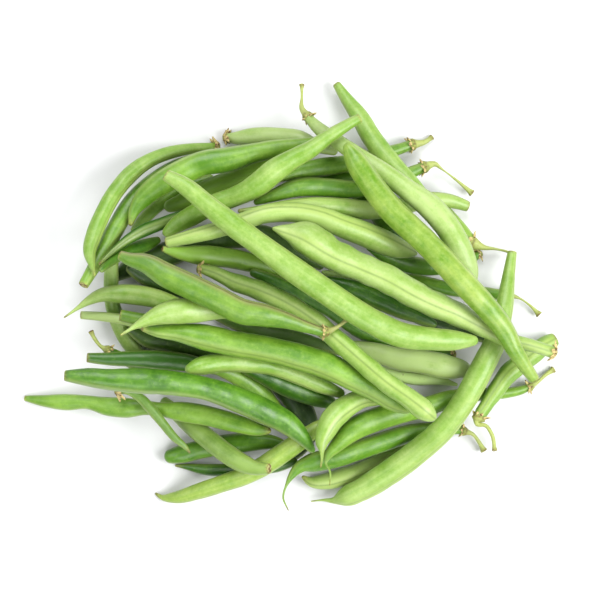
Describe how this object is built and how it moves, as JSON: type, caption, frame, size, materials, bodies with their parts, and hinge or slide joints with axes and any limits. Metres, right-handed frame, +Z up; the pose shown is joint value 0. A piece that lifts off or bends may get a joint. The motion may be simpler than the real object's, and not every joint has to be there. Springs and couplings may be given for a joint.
{
  "type": "green bean bundle",
  "caption": "Loose heap of fresh green beans lying on each other, with curved pods, cut ends, withered caps, stems and fine tails.",
  "frame": {"origin": "middle of the bottom of the whole heap's box, on the surface that it lies on", "axes": "+X along the heap's longest extent, +Z up, +Y completes a right-handed frame"},
  "size_m": [0.2028, 0.162, 0.0513],
  "materials": {
    "lime_pod": "pale lime green waxy skin, semi-gloss, fine mottling and a darker seam",
    "mid_pod": "mid green waxy skin, semi-gloss, fine mottling",
    "deep_pod": "deep green waxy skin with soft highlights",
    "olive_pod": "dull olive green skin, slightly rough"
  },
  "bodies": {
    "root": {"bean_hidden_west": "deep_pod", "bean_hidden_south": "deep_pod", "bean_hidden_north": "deep_pod", "bean_floor_west": "olive_pod", "bean_hidden_northwest": "lime_pod", "bean_west_arch_inner": "mid_pod", "bean_southwest_dark": "deep_pod", "bean_southwest_stub": "deep_pod", "bean_west_dark_stem": "mid_pod", "bean_under_west": "olive_pod", "bean_east_stem_thin": "deep_pod", "bean_northeast_under": "deep_pod", "bean_gap_east": "olive_pod", "bean_spotted": "lime_pod", "bean_south_hook": "mid_pod", "bean_south_long_tail": "mid_pod", "bean_west_pale_thin": "lime_pod", "bean_west_blunt": "mid_pod", "bean_northeast_stem": "lime_pod", "bean_west_arch": "mid_pod", "bean_north_under": "mid_pod", "bean_north_stem_short": "mid_pod", "bean_north_stem_long": "mid_pod", "bean_northeast_blunt": "mid_pod", "bean_north_rim": "lime_pod", "bean_northwest_stub": "lime_pod", "bean_northwest_grooved": "mid_pod", "bean_west_shaded": "deep_pod", "bean_gap_west": "olive_pod", "bean_west_whisker": "lime_pod", "bean_core_deep_west": "deep_pod", "bean_core_deep": "deep_pod", "bean_core_pale": "lime_pod", "bean_core_olive": "olive_pod", "bean_core_bright": "mid_pod", "bean_gap_pale": "lime_pod", "bean_gap_dark": "deep_pod", "bean_gap_centre": "deep_pod", "bean_east_pale": "lime_pod", "bean_south_curved": "mid_pod", "bean_southwest_lime": "lime_pod", "bean_southwest_olive": "olive_pod", "bean_lumpy": "deep_pod", "bean_tiny": "mid_pod", "bean_south_claw": "lime_pod", "bean_deep_long": "deep_pod", "bean_northwest_broad": "mid_pod", "bean_north_tall": "mid_pod", "bean_north_sweep": "mid_pod", "bean_s_curved": "mid_pod", "bean_centre_seamed": "lime_pod", "bean_east_bent": "lime_pod", "bean_great_arc": "lime_pod", "bean_broad_seamed": "lime_pod", "bean_centre_bright": "mid_pod", "bean_leaf_ended": "lime_pod", "bean_long_seamed": "mid_pod", "bean_rough_backed": "mid_pod", "bean_top_lime": "lime_pod", "bean_top_green": "mid_pod"}
  },
  "joints": []
}
